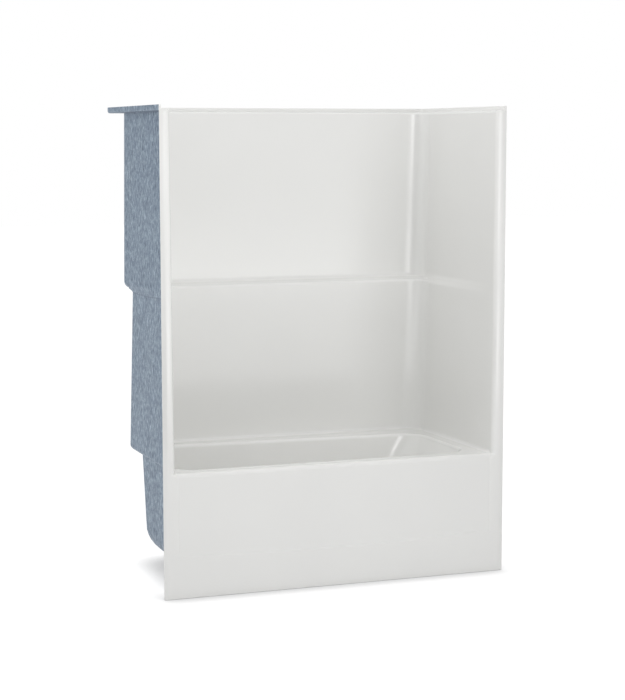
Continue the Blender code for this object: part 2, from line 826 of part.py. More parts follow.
def build_battens():
    """Battens across the outside of the back wall, one above the ledge and one below."""
    top = Vector((DEPTH - UPPER_BACK_AT_TOP, TOP_LEDGE_Z - TOP_ROUND))
    ledge_head = Vector((DEPTH - UPPER_BACK_AT_LEDGE, LEDGE_Z + LEDGE_COVE))
    ledge_foot = Vector((DEPTH - LOWER_BACK_AT_LEDGE, LEDGE_Z - LEDGE_FALL - LEDGE_EDGE))
    deck = Vector((DEPTH - LOWER_BACK_AT_DECK, deck_z(DEPTH - LOWER_BACK_AT_DECK) + DECK_COVE))
    add_batten("upper_back_batten", ledge_head, top)
    add_batten("lower_back_batten", deck, ledge_foot)


def build_model():
    for thing in list(bpy.data.objects):
        bpy.data.objects.remove(thing)
    drain = drain_cutter("waste_cutter", DRAIN_RADIUS)
    sheet = build_sheet()
    everything = set(sheet.mesh.faces)
    mesh = shell_mesh(sheet, "acrylic_skin", everything, 0, SKIN, 0, False)
    skin = add_object("acrylic_skin", mesh, "acrylic", smooth=True)
    cut(skin, drain)
    for zone in sorted(set(sheet.zones.values()) - {BARE}):
        faces = {f for f, name in sheet.zones.items() if name == zone}
        mesh = shell_mesh(sheet, "laminate_" + zone, faces, SKIN + GAP, SHELL, GAP / 2, True)
        panel = add_object("laminate_" + zone, mesh, "laminate", smooth=True)
        if zone == "basin_floor":
            cut(panel, drain)
    sheet.mesh.free()
    build_base()
    build_front_timber()
    build_battens()


build_model()
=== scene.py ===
"""Looks for the moulded tub and shower unit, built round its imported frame.

The white skin and the blue-grey backing are made again from the unit's driving sizes with finer
steps, the timber and the board stay as packed, and every piece gets a node material. Metres, row
frame.
"""

import math

import bmesh
import bpy
from mathutils import Matrix, Vector


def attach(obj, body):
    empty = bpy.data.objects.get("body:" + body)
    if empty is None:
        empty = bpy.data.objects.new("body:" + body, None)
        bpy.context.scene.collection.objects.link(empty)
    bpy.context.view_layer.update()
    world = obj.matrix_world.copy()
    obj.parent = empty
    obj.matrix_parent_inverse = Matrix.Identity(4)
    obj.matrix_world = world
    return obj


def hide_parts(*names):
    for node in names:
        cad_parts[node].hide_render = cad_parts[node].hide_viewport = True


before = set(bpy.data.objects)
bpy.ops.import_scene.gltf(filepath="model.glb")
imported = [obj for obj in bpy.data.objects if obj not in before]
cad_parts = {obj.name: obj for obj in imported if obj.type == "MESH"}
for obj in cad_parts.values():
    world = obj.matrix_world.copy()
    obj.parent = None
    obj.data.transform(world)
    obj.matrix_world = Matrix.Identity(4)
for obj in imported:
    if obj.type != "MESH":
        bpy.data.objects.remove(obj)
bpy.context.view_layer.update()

# The unit's driving sizes. The column's edge, the ledge's height and cove, the rim's height, the
# field's step and the skin's foot are a few millimetres off the frame's, closer to the photograph.
WIDTH = 1.524
DEPTH = 0.896
HEIGHT = 2.010
SKIN = 0.003
LAMINATE = 0.0035
GAP = 0.0003
SHELL = SKIN + GAP + LAMINATE
UPSTAND = 0.0185
UPSTAND_FOOT = 0.003
UPSTAND_CORNER = 0.014
FLANGE_LIP = 0.002
FLANGE_START = 0.170
TOP_ROUND = 0.010
STRIP = 0.0125
BEAD_PROUD = 0.0052
BEAD_RUN = 0.0095
COLUMN_AT_TOP = 0.045
COLUMN_AT_RIM = 0.052
UPPER_SIDE = 0.0425
UPPER_BACK_AT_TOP = 0.107
UPPER_BACK_AT_LEDGE = 0.068
LOWER_SIDE_AT_LEDGE = 0.061
LOWER_SIDE_AT_DECK = 0.0575
LOWER_BACK_AT_LEDGE = 0.146
LOWER_BACK_AT_DECK = 0.082
REAR_RADIUS = 0.085
LEDGE_Z = 1.2305
LEDGE_COVE = 0.018
LEDGE_EDGE = 0.013
LEDGE_FALL = 0.009
LEDGE_FULL = 0.045
LEDGE_SPREAD = 0.006
RIM_Z = 0.518
DECK_FALL = 0.0105
DECK_COVE = 0.015
RIM_ROUND = 0.015
FRONT_ROUND = 0.018
FIELD_DEPTH = 0.004
FIELD_MARGIN = 0.012
FIELD_CLEAR = 0.016
FIELD_END_Z = 0.181
FIELD_BOW = 0.017
FIELD_STEP = 0.013
SKIN_FOOT = 0.0008
BASIN_LEFT = 0.092
BASIN_RIGHT = 0.126
BASIN_FRONT = 0.094
BASIN_BACK_AT_LEFT = 0.146
BASIN_BACK_AT_RIGHT = 0.231
CORNER_LEFT = 0.095
CORNER_RIGHT = 0.115
FLOOR_CORNER_SHARE = 0.60
END_DRAFT_SHARE = 0.034
FRONT_DRAFT_SHARE = 0.060
BACKREST_DRAFT_SHARE = 0.560
BASIN_BEND = 0.125
FRONT_BEND = 0.100
BACKREST_BEND = 0.160
FLOOR_Z = 0.050
FLOOR_RISE = 0.012
DRAIN_RADIUS = 0.026
DRAIN_FROM_LEFT = 0.305
TOP_LEDGE_Z = HEIGHT - UPSTAND
COLUMN_ROUND = FRONT_ROUND + FIELD_DEPTH
QUARTER = math.pi / 2

# Faces along each stretch of the surface
STEPS_BEAD = 6
STEPS_COLUMN = 8
STEPS_CORNER = 14
STEPS_BACK = 16
STEPS_FOOT = 3
STEPS_TOP = 5
STEPS_COVE = 5
STEPS_EDGE = 6
STEPS_RIM = 5
STEPS_BEND = 9
STEPS_FIELD = 8
STEPS_WALL = 8
SIDE_SHARES = (0.02, 0.06, 0.15, 0.32, 0.50, 0.68, 0.85, 1)
STEPS_SIDE = len(SIDE_SHARES)
BASIN_SIDE_SHARES = (0.12, 0.5, 0.88)
FLOOR_SHARES = (0.25, 0.5, 0.72, 0.88, 0.96, 1)

# Faces that meet at a smaller angle than this are shaded as one surface
SMOOTH_COS = math.cos(math.radians(38))

# Height of each crease on the outside where a painted shade line lies, and how it climbs towards the
# front
PAINTED_SHADE_LINES = ((LEDGE_Z - LEDGE_FALL - LEDGE_EDGE, 0.048), (TOP_LEDGE_Z - SHELL, 0.0))

# The photograph's camera
LENS = 92.357
SENSOR = 36.0
CAMERA_AT = (-2.6364, -7.3895, 1.8866)
CAMERA_RIGHT = (0.94001184, -0.34113967, -0.00120806)
CAMERA_UP = (0.04159286, 0.11109308, 0.99293925)


def lerp(a, b, t):
    return a + (b - a) * t


def mix(p, q, t):
    return (lerp(p[0], q[0], t), lerp(p[1], q[1], t))


def place(inset, depth, z):
    """A point from its inset off the left face, its depth behind the front and its height."""
    return Vector((inset - WIDTH / 2, depth - DEPTH / 2, z))


def whole(left, between):
    right = [(WIDTH - x, y) for x, y in reversed(left)]
    return left + between + right


def back_run(left):
    end = left[-1]
    far = (WIDTH - end[0], end[1])
    return [mix(end, far, k / STEPS_BACK) for k in range(1, STEPS_BACK)]


def bead(front, depth):
    """The column in plan, from its outer edge over the soft bead to its inner edge."""
    points = [(0, BEAD_PROUD)]
    for k in range(STEPS_BEAD + 1):
        inset = STRIP + BEAD_RUN * k / STEPS_BEAD
        turn = QUARTER * inset / (STRIP + BEAD_RUN)
        points.append((inset, BEAD_PROUD * (1 - math.sin(turn))))
    for k in range(STEPS_COLUMN + 1):
        turn = QUARTER * k / STEPS_COLUMN
        inset = front - COLUMN_ROUND * (1 - math.sin(turn))
        points.append((inset, depth * (1 - math.cos(turn))))
    return points


def wall_half(front, side, back):
    """The left half of a wall row in plan, up to the end of the rear corner."""
    points = bead(front, COLUMN_ROUND)
    corner_y = DEPTH - back - REAR_RADIUS
    start = points[-1]
    points += [mix(start, (side, corner_y), share) for share in SIDE_SHARES]
    for k in range(1, STEPS_CORNER + 1):
        turn = QUARTER * k / STEPS_CORNER
        inset = side + REAR_RADIUS * (1 - math.cos(turn))
        points.append((inset, corner_y + REAR_RADIUS * math.sin(turn)))
    return points


def column_at(z):
    return lerp(COLUMN_AT_RIM, COLUMN_AT_TOP, (z - RIM_Z) / (TOP_LEDGE_Z - RIM_Z))


def deck_z(depth):
    """Height of the deck, which falls a little from the apron to the back wall."""
    reach = DEPTH - LOWER_BACK_AT_DECK - COLUMN_ROUND
    return RIM_Z - DECK_FALL * max(0, depth - COLUMN_ROUND) / reach


def ledge_half(inside):
    """The left half of the top ledge's inner edge, one rounding behind the wall's face."""
    points = [inside[0]]
    points += [(STRIP + BEAD_RUN * k / STEPS_BEAD, BEAD_PROUD) for k in range(STEPS_BEAD + 1)]
    first = len(points)
    face = inside[first]
    for x, y in inside[first:first + STEPS_COLUMN + 1]:
        along = (x - face[0]) / COLUMN_ROUND
        points.append((x - TOP_ROUND * along, max(BEAD_PROUD, y)))
    rear = len(points)
    for x, y in inside[rear:rear + STEPS_SIDE]:
        points.append((x - TOP_ROUND, y))
    for k, (x, y) in enumerate(inside[rear + STEPS_SIDE:], 1):
        turn = QUARTER * k / STEPS_CORNER
        points.append((x - TOP_ROUND * math.cos(turn), y + TOP_ROUND * math.sin(turn)))
    return points


def flange_half(inset):
    """The left half of a row of the nailing flange, a rectangle with small corners."""
    radius = UPSTAND_CORNER + SHELL - inset
    corner_y = DEPTH - inset - radius
    side = inset + FLANGE_LIP
    count = STEPS_BEAD + STEPS_COLUMN + 1
    points = [(0, BEAD_PROUD)]
    points += [(side, lerp(BEAD_PROUD, FLANGE_START, k / count)) for k in range(count + 1)]
    start = points[-1]
    points += [mix(start, (side, corner_y), share) for share in SIDE_SHARES]
    for k in range(1, STEPS_CORNER + 1):
        turn = QUARTER * k / STEPS_CORNER
        points.append((side + radius * (1 - math.cos(turn)), corner_y + radius * math.sin(turn)))
    return points


COLUMN_END = 1 + STEPS_BEAD + 1 + STEPS_COLUMN
SIDE_END = COLUMN_END + STEPS_SIDE
CORNER_END = SIDE_END + STEPS_CORNER
ROW_LENGTH = CORNER_END + 1 + STEPS_BACK + CORNER_END
BARE = "bare"


def row(half, heights):
    points = whole(half, back_run(half))
    if not callable(heights):
        return [place(x, y, heights) for x, y in points]
    return [place(x, y, heights(k, x, y)) for k, (x, y) in enumerate(points)]


def flange_rows():
    rows = [row(flange_half(SHELL), HEIGHT)]
    for k in range(STEPS_FOOT + 1):
        turn = QUARTER * k / STEPS_FOOT
        inset = SHELL + UPSTAND_FOOT * (1 - math.cos(turn))
        rows.append(row(flange_half(inset), TOP_LEDGE_Z + UPSTAND_FOOT * (1 - math.sin(turn))))
    return rows


def top_rows():
    """The rounded top of the walls, from the ledge down to the upper wall."""
    wall_z = TOP_LEDGE_Z - TOP_ROUND
    inside = wall_half(column_at(wall_z), UPPER_SIDE, UPPER_BACK_AT_TOP)
    outside = ledge_half(inside)
    rows = []
    for k in range(STEPS_TOP + 1):
        turn = QUARTER * k / STEPS_TOP
        half = [mix(p, q, math.sin(turn)) for p, q in zip(outside, inside)]
        levels = [wall_z + TOP_ROUND * math.cos(turn)] * ROW_LENGTH
        levels[0] = levels[-1] = wall_z + TOP_ROUND * (STEPS_TOP - k) / (STEPS_TOP + 1)
        levels[1] = levels[-2] = wall_z + TOP_ROUND * (STEPS_TOP - k) / STEPS_TOP
        rows.append(row(half, lambda j, x, y, levels=levels: levels[j]))
    return rows


def ledge_profile(reach):
    """Run and height of the ledge's points below each other, where the ledge is reach deep."""
    full = []
    for k in range(STEPS_COVE + 1):
        turn = QUARTER * k / STEPS_COVE
        rise = LEDGE_COVE * (1 - math.sin(turn))
        full.append((LEDGE_COVE * (1 - math.cos(turn)), LEDGE_Z + rise))
    for k in range(STEPS_EDGE + 1):
        turn = QUARTER * k / STEPS_EDGE
        drop = LEDGE_FALL + LEDGE_EDGE * (1 - math.cos(turn))
        full.append((reach - LEDGE_EDGE * (1 - math.sin(turn)), LEDGE_Z - drop))
    share = min(1, reach / LEDGE_FULL) ** 2
    last = len(full) - 1
    head = full[0][1] + LEDGE_SPREAD
    foot = full[last][1] - LEDGE_SPREAD
    profile = []
    for k, point in enumerate(full):
        t = k / last
        soft = (reach * t * t * (3 - 2 * t), lerp(head, foot, t))
        profile.append(mix(soft, point, share))
    return profile


def ledge_rows():
    """The ledge half way up: a cove, a shelf that falls a little, and a rounded edge."""
    column = column_at(LEDGE_Z)
    above = wall_half(column, UPPER_SIDE, UPPER_BACK_AT_LEDGE)
    below = wall_half(column, LOWER_SIDE_AT_LEDGE, LOWER_BACK_AT_LEDGE)
    reaches = []
    for k, (p, q) in enumerate(zip(above, below)):
        turn = QUARTER * max(0, k - SIDE_END) / STEPS_CORNER
        reaches.append((q[0] - p[0]) * math.cos(turn) + (p[1] - q[1]) * math.sin(turn))
    profiles = [ledge_profile(reach) for reach in reaches]
    between = [profiles[-1] for k in range(1, STEPS_BACK)]
    profiles = profiles + between + profiles[::-1]
    rows = []
    for k in range(STEPS_COVE + STEPS_EDGE + 2):
        half = [mix(p, q, pr[k][0] / reach) if reach > 0 else p
                for p, q, reach, pr in zip(above, below, reaches, profiles)]
        rows.append(row(half, lambda j, x, y, k=k: profiles[j][k][1]))
    return rows


def rim_row():
    """The foot of the walls, where the deck's cove starts. It meets the apron at the columns."""
    half = wall_half(COLUMN_AT_RIM, LOWER_SIDE_AT_DECK, LOWER_BACK_AT_DECK)
    last = ROW_LENGTH - 1

    def height(k, x, y):
        if min(k, last - k) <= COLUMN_END:
            return RIM_Z
        return deck_z(y) + DECK_COVE

    return row(half, height)


def field_edge(inset):
    """Height of the middle of the apron field's lower edge, which bows down between the columns."""
    half = WIDTH / 2
    share = (inset - half) / (half - COLUMN_AT_RIM)
    return FIELD_END_Z - FIELD_BOW * max(0, 1 - share * share)


def apron_profile():
    """Rows below the rim: the field's depth, how far the rounding has turned, and a height rule."""
    rows = []
    for k in range(1, STEPS_TOP + 1):
        turn = QUARTER * k / STEPS_TOP
        depth = FIELD_DEPTH + FRONT_ROUND * (1 - math.sin(turn))
        z = RIM_Z - FRONT_ROUND * (1 - math.cos(turn))
        rows.append((depth, math.sin(turn), lambda x, z=z: z))
    for k in range(STEPS_FIELD + 1):
        t = k / STEPS_FIELD
        depth = FIELD_DEPTH * (1 + math.cos(math.pi * t)) / 2
        rise = FIELD_STEP * (1 - 2 * t) / 2
        rows.append((depth, 1, lambda x, rise=rise: field_edge(x) + rise))
    rows.append((0, 1, lambda x: SKIN_FOOT))
    return rows


def front_insets():
    """Insets of the apron's upright lines, which the basin's front corners and front share."""
    left = BASIN_LEFT + CORNER_LEFT
    right = WIDTH - BASIN_RIGHT - CORNER_RIGHT
    first = COLUMN_AT_RIM + FIELD_CLEAR
    last = WIDTH - first
    insets = [COLUMN_AT_RIM]
    insets += [lerp(first, left, k / (STEPS_CORNER - 1)) for k in range(STEPS_CORNER - 1)]
    insets += [lerp(left, right, k / STEPS_BACK) for k in range(STEPS_BACK)]
    insets += [lerp(right, last, k / (STEPS_CORNER - 1)) for k in range(STEPS_CORNER)]
    return insets + [WIDTH - COLUMN_AT_RIM]


def column_below(depth, turned, height):
    points = []
    for x, y in bead(COLUMN_AT_RIM, depth):
        along = max(0, 1 - (COLUMN_AT_RIM - x) / COLUMN_ROUND)
        inset = x + FIELD_MARGIN * along * turned
        points.append((inset, y))
    return [(x, y, height(x)) for x, y in points]


def apron_row(depth, turned, height):
    left = column_below(depth, turned, height)
    right = [(WIDTH - x, y, z) for x, y, z in reversed(left)]
    middle = [(x, depth, height(x)) for x in front_insets()[1:-1]]
    return [place(*p) for p in left + middle + right]


def bend_inset(height, top, draft, radius):
    """How far a basin side has come in at a height over the floor, with its draft and its bend."""
    lean = math.atan(draft)
    start = radius * (1 - math.sin(lean))
    if height >= start:
        return (top - height) * draft
    turn = math.asin(min(1, 1 - height / radius))
    return (top - start) * draft + radius * (math.cos(lean) - math.cos(turn))


def basin_corners(out, height, top):
    """The four sharp corners of the basin outline, grown by out, at a height over the floor."""
    left = BASIN_LEFT - out + bend_inset(height, top, END_DRAFT_SHARE, BASIN_BEND)
    right = WIDTH - BASIN_RIGHT + out - bend_inset(height, top, BACKREST_DRAFT_SHARE, BACKREST_BEND)
    front = BASIN_FRONT - out + bend_inset(height, top, FRONT_DRAFT_SHARE, FRONT_BEND)
    back = bend_inset(height, top, END_DRAFT_SHARE, BASIN_BEND) - out

    def back_y(x):
        along = (x - BASIN_LEFT) / (WIDTH - BASIN_LEFT - BASIN_RIGHT)
        return DEPTH - lerp(BASIN_BACK_AT_LEFT, BASIN_BACK_AT_RIGHT, along) - back

    return [(left, front), (left, back_y(left)), (right, back_y(right)), (right, front)]


def fillet(before, corner, after, radius):
    """A rounded corner in plan, as the points from one tangent point to the other."""
    a = Vector(before) - Vector(corner)
    b = Vector(after) - Vector(corner)
    a.normalize()
    b.normalize()
    half = a.angle(b) / 2
    centre = Vector(corner) + (a + b).normalized() * (radius / math.sin(half))
    start = Vector(corner) + a * (radius / math.tan(half)) - centre
    end = Vector(corner) + b * (radius / math.tan(half)) - centre
    turn = start.angle_signed(end)
    points = []
    for k in range(STEPS_CORNER + 1):
        swing = Matrix.Rotation(-turn * k / STEPS_CORNER, 2)
        points.append(tuple(centre + swing @ start))
    return points


def basin_loop(out, height, top, radii):
    """A closed ring of the basin, starting at the front of its left side, clockwise from above."""
    corners = basin_corners(out, height, top)
    rounded = []
    for k, corner in enumerate(corners):
        rounded.append(fillet(corners[k - 1], corner, corners[(k + 1) % 4], radii[k]))
    front_left, back_left, back_right, front_right = rounded
    ring = run(front_left[-1], back_left[0], STEPS_SIDE) + back_left[:-1]
    ring += run(back_left[-1], back_right[0], STEPS_BACK) + back_right[:-1]
    ring += run(back_right[-1], front_right[0], STEPS_SIDE) + front_right[:-1]
    ring += run(front_right[-1], front_left[0], STEPS_BACK) + front_left[:-1]
    return ring


def run(a, b, steps):
    return [mix(a, b, k / steps) for k in range(steps)]


def floor_z(x):
    """Height of the basin floor, which falls to the waste hole at the left."""
    return FLOOR_Z + FLOOR_RISE * (x - BASIN_LEFT) / (WIDTH - BASIN_LEFT - BASIN_RIGHT)


def radii(share, out):
    shrink = lerp(1, FLOOR_CORNER_SHARE, share)
    return [r * shrink + out for r in (CORNER_LEFT, CORNER_LEFT, CORNER_RIGHT, CORNER_RIGHT)]


def basin_rows():
    """Rings from the deck's inner edge down to the floor."""
    top = RIM_Z - RIM_ROUND - FLOOR_Z
    rings = []
    for k in range(STEPS_RIM + 1):
        turn = QUARTER * k / STEPS_RIM
        out = RIM_ROUND * (1 - math.sin(turn))
        ring = basin_loop(out, top, top, radii(0, out))
        drop = RIM_ROUND * (1 - math.cos(turn))
        rings.append([place(x, y, deck_z(y) - drop) for x, y in ring])
    for t in BASIN_SIDE_SHARES:
        height = lerp(top, BASIN_BEND, t)
        ring = basin_loop(0, height, top, radii(0, 0))
        share = height / top
        rings.append([place(x, y, lerp(floor_z(x), deck_z(y) - RIM_ROUND, share)) for x, y in ring])
    for k in range(STEPS_BEND + 1):
        turn = QUARTER * k / STEPS_BEND
        height = BASIN_BEND * (1 - math.sin(turn))
        ring = basin_loop(0, height, top, radii(k / STEPS_BEND, 0))
        rings.append([place(x, y, floor_z(x) + height) for x, y in ring])
    return rings


def inward_step(ring, j):
    """Plan direction into a clockwise ring at a point, long enough to keep an even offset."""
    before = (ring[j] - ring[j - 1]).xy.normalized()
    after = (ring[(j + 1) % len(ring)] - ring[j]).xy.normalized()
    first = Vector((before.y, -before.x))
    second = Vector((after.y, -after.x))
    return (first + second) / (1 + first.dot(second))


def cove_rows(rim, apron_top):
    """Rings from the foot of the walls to the deck, with the rim's flat top along the front."""
    outer = rim[COLUMN_END:ROW_LENGTH - COLUMN_END] + apron_top[::-1][1:-1]
    side_count = ROW_LENGTH - 2 * COLUMN_END
    rings = [outer]
    for k in range(1, STEPS_COVE + 1):
        turn = QUARTER * k / STEPS_COVE
        inward = DECK_COVE * (1 - math.cos(turn))
        drop = DECK_COVE * math.sin(turn)
        ring = []
        for j, p in enumerate(outer):
            step = inward_step(outer, j) * inward
            flat = j == 0 or j >= side_count - 1
            z = deck_z(p.y + step.y + DEPTH / 2) if flat else p.z - drop
            ring.append(Vector((p.x + step.x, p.y + step.y, z)))
        rings.append(ring)
    return rings


def near_end(k):
    return min(k, ROW_LENGTH - 2 - k)


def blend_rows(above, below, steps):
    """Rows between two rows, to keep the faces of a tall stretch short."""
    return [[p.lerp(q, k / steps) for p, q in zip(above, below)] for k in range(1, steps)]


def build_sheet():
    """One open surface with a zone name for each face: flange, upper, lower, front, tub or bare."""
    mesh = bmesh.new()
    zones = {}

    def points(line):
        return [mesh.verts.new(p) for p in line]

    def strip(above, below, zone, closed=False):
        count = len(above)
        for k in range(count if closed else count - 1):
            n = (k + 1) % count
            zones[mesh.faces.new((above[k], below[k], below[n], above[n]))] = zone(k)

    def column_or(name):
        return lambda k: "front" if near_end(k) < COLUMN_END else name

    top, ledge, foot = top_rows(), ledge_rows(), rim_row()
    upper = blend_rows(top[-1], ledge[0], STEPS_WALL)
    lower = blend_rows(ledge[-1], foot, STEPS_WALL)
    flange = [points(r) for r in flange_rows()]
    for above, below in zip(flange, flange[1:]):
        strip(above, below, lambda k: BARE if near_end(k) < 1 else "flange")
    walls = [points(r) for r in top + upper + ledge + lower + [foot]]
    strip(flange[-1], walls[0], lambda k: BARE if near_end(k) <= STEPS_BEAD + 1 else "flange")
    for j, (above, below) in enumerate(zip(walls, walls[1:])):
        if j < STEPS_TOP:
            strip(above, below, lambda k: BARE if near_end(k) < COLUMN_END else "upper")
        else:
            strip(above, below, column_or("upper" if j < STEPS_TOP + STEPS_WALL else "lower"))

    rim = walls[-1]
    right = rim[ROW_LENGTH - COLUMN_END - 1:]
    top_places = [place(x, COLUMN_ROUND, RIM_Z) for x in front_insets()]
    top_line = [rim[COLUMN_END]] + points(top_places[1:-1]) + [right[0]]
    above = rim[:COLUMN_END] + top_line + right[1:]
    for depth, turned, height in apron_profile():
        below = points(apron_row(depth, turned, height))
        strip(above, below, lambda k: "front")
        above = below
    feet = set(above)

    coves = cove_rows([v.co for v in rim], top_places)
    ring = rim[COLUMN_END:ROW_LENGTH - COLUMN_END] + top_line[::-1][1:-1]
    for places in coves[1:] + basin_rows():
        below = points(places)
        strip(ring, below, lambda k: "tub", closed=True)
        ring = below
    floor_faces(mesh, zones, ring)
    bmesh.ops.recalc_face_normals(mesh, faces=mesh.faces)
    low = [f for f in mesh.faces if f.calc_center_median().z < FLOOR_Z + FLOOR_RISE]
    if sum(f.normal.z * f.calc_area() for f in low) < 0:
        bmesh.ops.reverse_faces(mesh, faces=mesh.faces)
    return mesh, zones, feet


def floor_faces(mesh, zones, ring):
    """The basin floor, with a round waste hole whose rim is part of the mesh."""
    middle = sum((v.co.xy for v in ring), Vector((0, 0))) / len(ring)
    centre = Vector((place(DRAIN_FROM_LEFT, 0, 0).x, middle.y))
    count = len(ring)
    loops = [ring]
    for t in FLOOR_SHARES:
        loop = []
        for v in ring:
            out = v.co.xy - centre
            spot = centre + out.normalized() * DRAIN_RADIUS
            spot = v.co.xy.lerp(spot, t)
            loop.append(mesh.verts.new((spot.x, spot.y, floor_z(spot.x + WIDTH / 2))))
        loops.append(loop)
    for above, below in zip(loops, loops[1:]):
        for k in range(count):
            n = (k + 1) % count
            zones[mesh.faces.new((above[k], below[k], below[n], above[n]))] = "tub"


def corner_normals(mesh):
    """For each face corner, the area-weighted normal of the faces that it runs smoothly into."""
    found = {}
    areas = {f: f.calc_area() for f in mesh.faces}
    for vert in mesh.verts:
        faces = list(vert.link_faces)
        for face in faces:
            total = Vector()
            for other in faces:
                if face.normal.dot(other.normal) >= SMOOTH_COS:
                    total += other.normal * areas[other]
            found[face, vert] = total.normalized()
    return found


def shell_piece(name, normals, faces, near, far, to_floor, feet):
    """A closed piece between two even offsets behind some faces of the sheet, shaded as they are."""
    chosen = set(faces)
    solid = bmesh.new()
    layers = {}
    shade = []
    for face in faces:
        for vert in face.verts:
            if vert in layers:
                continue
            reach = vert.normal * vert.calc_shell_factor()
            pair = []
            for distance in (near, far):
                spot = vert.co - reach * distance
                if to_floor and vert in feet:
                    spot.z = 0
                pair.append(solid.verts.new(spot))
            layers[vert] = pair
    for face in faces:
        solid.faces.new([layers[v][0] for v in face.verts])
        shade += [normals[face, v] for v in face.verts]
        back = list(face.verts)[::-1]
        solid.faces.new([layers[v][1] for v in back])
        shade += [-normals[face, v] for v in back]
    for face in faces:
        for loop in face.loops:
            if any(f is not face and f in chosen for f in loop.edge.link_faces):
                continue
            a, b = loop.vert, loop.link_loop_next.vert
            side = solid.faces.new((layers[b][0], layers[a][0], layers[a][1], layers[b][1]))
            side.normal_update()
            shade += [side.normal.copy()] * 4
    mesh = bpy.data.meshes.new(name)
    solid.to_mesh(mesh)
    solid.free()
    mesh.shade_smooth()
    mesh.normals_split_custom_set([tuple(n) if n.length > 0.5 else (0, 0, 1) for n in shade])
    thing = bpy.data.objects.new(name, mesh)
    bpy.context.scene.collection.objects.link(thing)
    return thing


class Nodes:
    """A short way to lay out and join the nodes of one material."""

    def __init__(self, name):
        self.material = bpy.data.materials.new(name)
        self.material.use_nodes = True
        self.tree = self.material.node_tree
        self.shader = self.tree.nodes["Principled BSDF"]
        coords = self.tree.nodes.new("ShaderNodeTexCoord")
        self.place = coords.outputs["Object"]

    def add(self, kind, settings=(), **values):
        node = self.tree.nodes.new("ShaderNode" + kind)
        for key, value in dict(settings).items():
            setattr(node, key, value)
        for key, value in values.items():
            key = key.replace("_", " ")
            self.put(node.inputs[key], value)
        return node

    def put(self, socket, value):
        if isinstance(value, bpy.types.NodeSocket):
            self.tree.links.new(value, socket)
        else:
            socket.default_value = value

    def scaled(self, scale, turn=(0, 0, 0)):
        node = self.add("Mapping", Vector=self.place, Scale=scale, Rotation=turn)
        return node.outputs["Vector"]

    def noise(self, scale, stretch=(1, 1, 1), detail=2.0, rough=0.5, turn=(0, 0, 0)):
        node = self.add("TexNoise", Vector=self.scaled(stretch, turn), Scale=scale, Detail=detail,
                        Roughness=rough)
        return node.outputs["Fac"]

    def math(self, kind, a, b=0.0):
        node = self.add("Math", {"operation": kind})
        self.put(node.inputs[0], a)
        self.put(node.inputs[1], b)
        return node.outputs["Value"]

    def span(self, value, low, high, to_low, to_high):
        node = self.add("MapRange", Value=value, From_Min=low, From_Max=high, To_Min=to_low,
                        To_Max=to_high)
        return node.outputs["Result"]

    def colours(self, value, *stops):
        node = self.add("ValToRGB", Fac=value)
        ramp = node.color_ramp
        while len(ramp.elements) < len(stops):
            ramp.elements.new(0.5)
        for element, (at, colour) in zip(ramp.elements, stops):
            element.position = at
            element.color = (*colour, 1)
        return node.outputs["Color"]

    def mix(self, factor, a, b, kind="MIX"):
        node = self.add("Mix", {"data_type": "RGBA", "blend_type": kind})
        self.put(node.inputs["Factor"], factor)
        self.put([s for s in node.inputs if s.name == "A" and s.type == "RGBA"][0], a)
        self.put([s for s in node.inputs if s.name == "B" and s.type == "RGBA"][0], b)
        return [s for s in node.outputs if s.type == "RGBA"][0]

    def bump(self, height, distance, strength=1.0):
        node = self.add("Bump", Height=height, Distance=distance, Strength=strength)
        self.put(self.shader.inputs["Normal"], node.outputs["Normal"])

    def finish(self, **values):
        for key, value in values.items():
            self.put(self.shader.inputs[key.replace("_", " ")], value)
        return self.material


def srgb(*parts):
    """A linear colour from the 0 to 255 parts that a screen shows it with."""
    return tuple(((p / 255 + 0.055) / 1.055) ** 2.4 for p in parts)


# Scales and spans of the finishes
GLOSS = (0.17, 0.21)   # roughness of the gel coat, from its smoothest to its dullest
FIBRES = {"scale": 100.0, "stretch": (1, 1, 0.42), "detail": 3.0, "rough": 0.6}
FIBRE_TURNS = ((0.35, 0.25, 0), (-0.45, -0.30, 0.3))
FINE_FIBRES = {"scale": 260.0, "stretch": (1, 1, 0.6), "detail": 1.0}
# How far the painted shade lines wander, and how their edges soften
SHADE_LINE_WANDER = 0.004
SHADE_LINE_EDGE = (0.0010, 0.0045)
GRAIN_SCALE = 95.0
GRAIN_STRETCH = 0.045


def gel_coat():
    n = Nodes("white_gel_coat")
    cloud = n.noise(2.2, detail=1.0)
    colour = n.colours(cloud, (0.3, srgb(235, 235, 233)), (0.7, srgb(237, 237, 235)))
    rough = n.span(n.noise(3.0, detail=1.0), 0.2, 0.8, *GLOSS)
    ripple = n.noise(5.0, detail=0.0)
    n.bump(ripple, 0.0005, 0.5)
    return n.finish(Base_Color=colour, Roughness=rough, IOR=1.7)


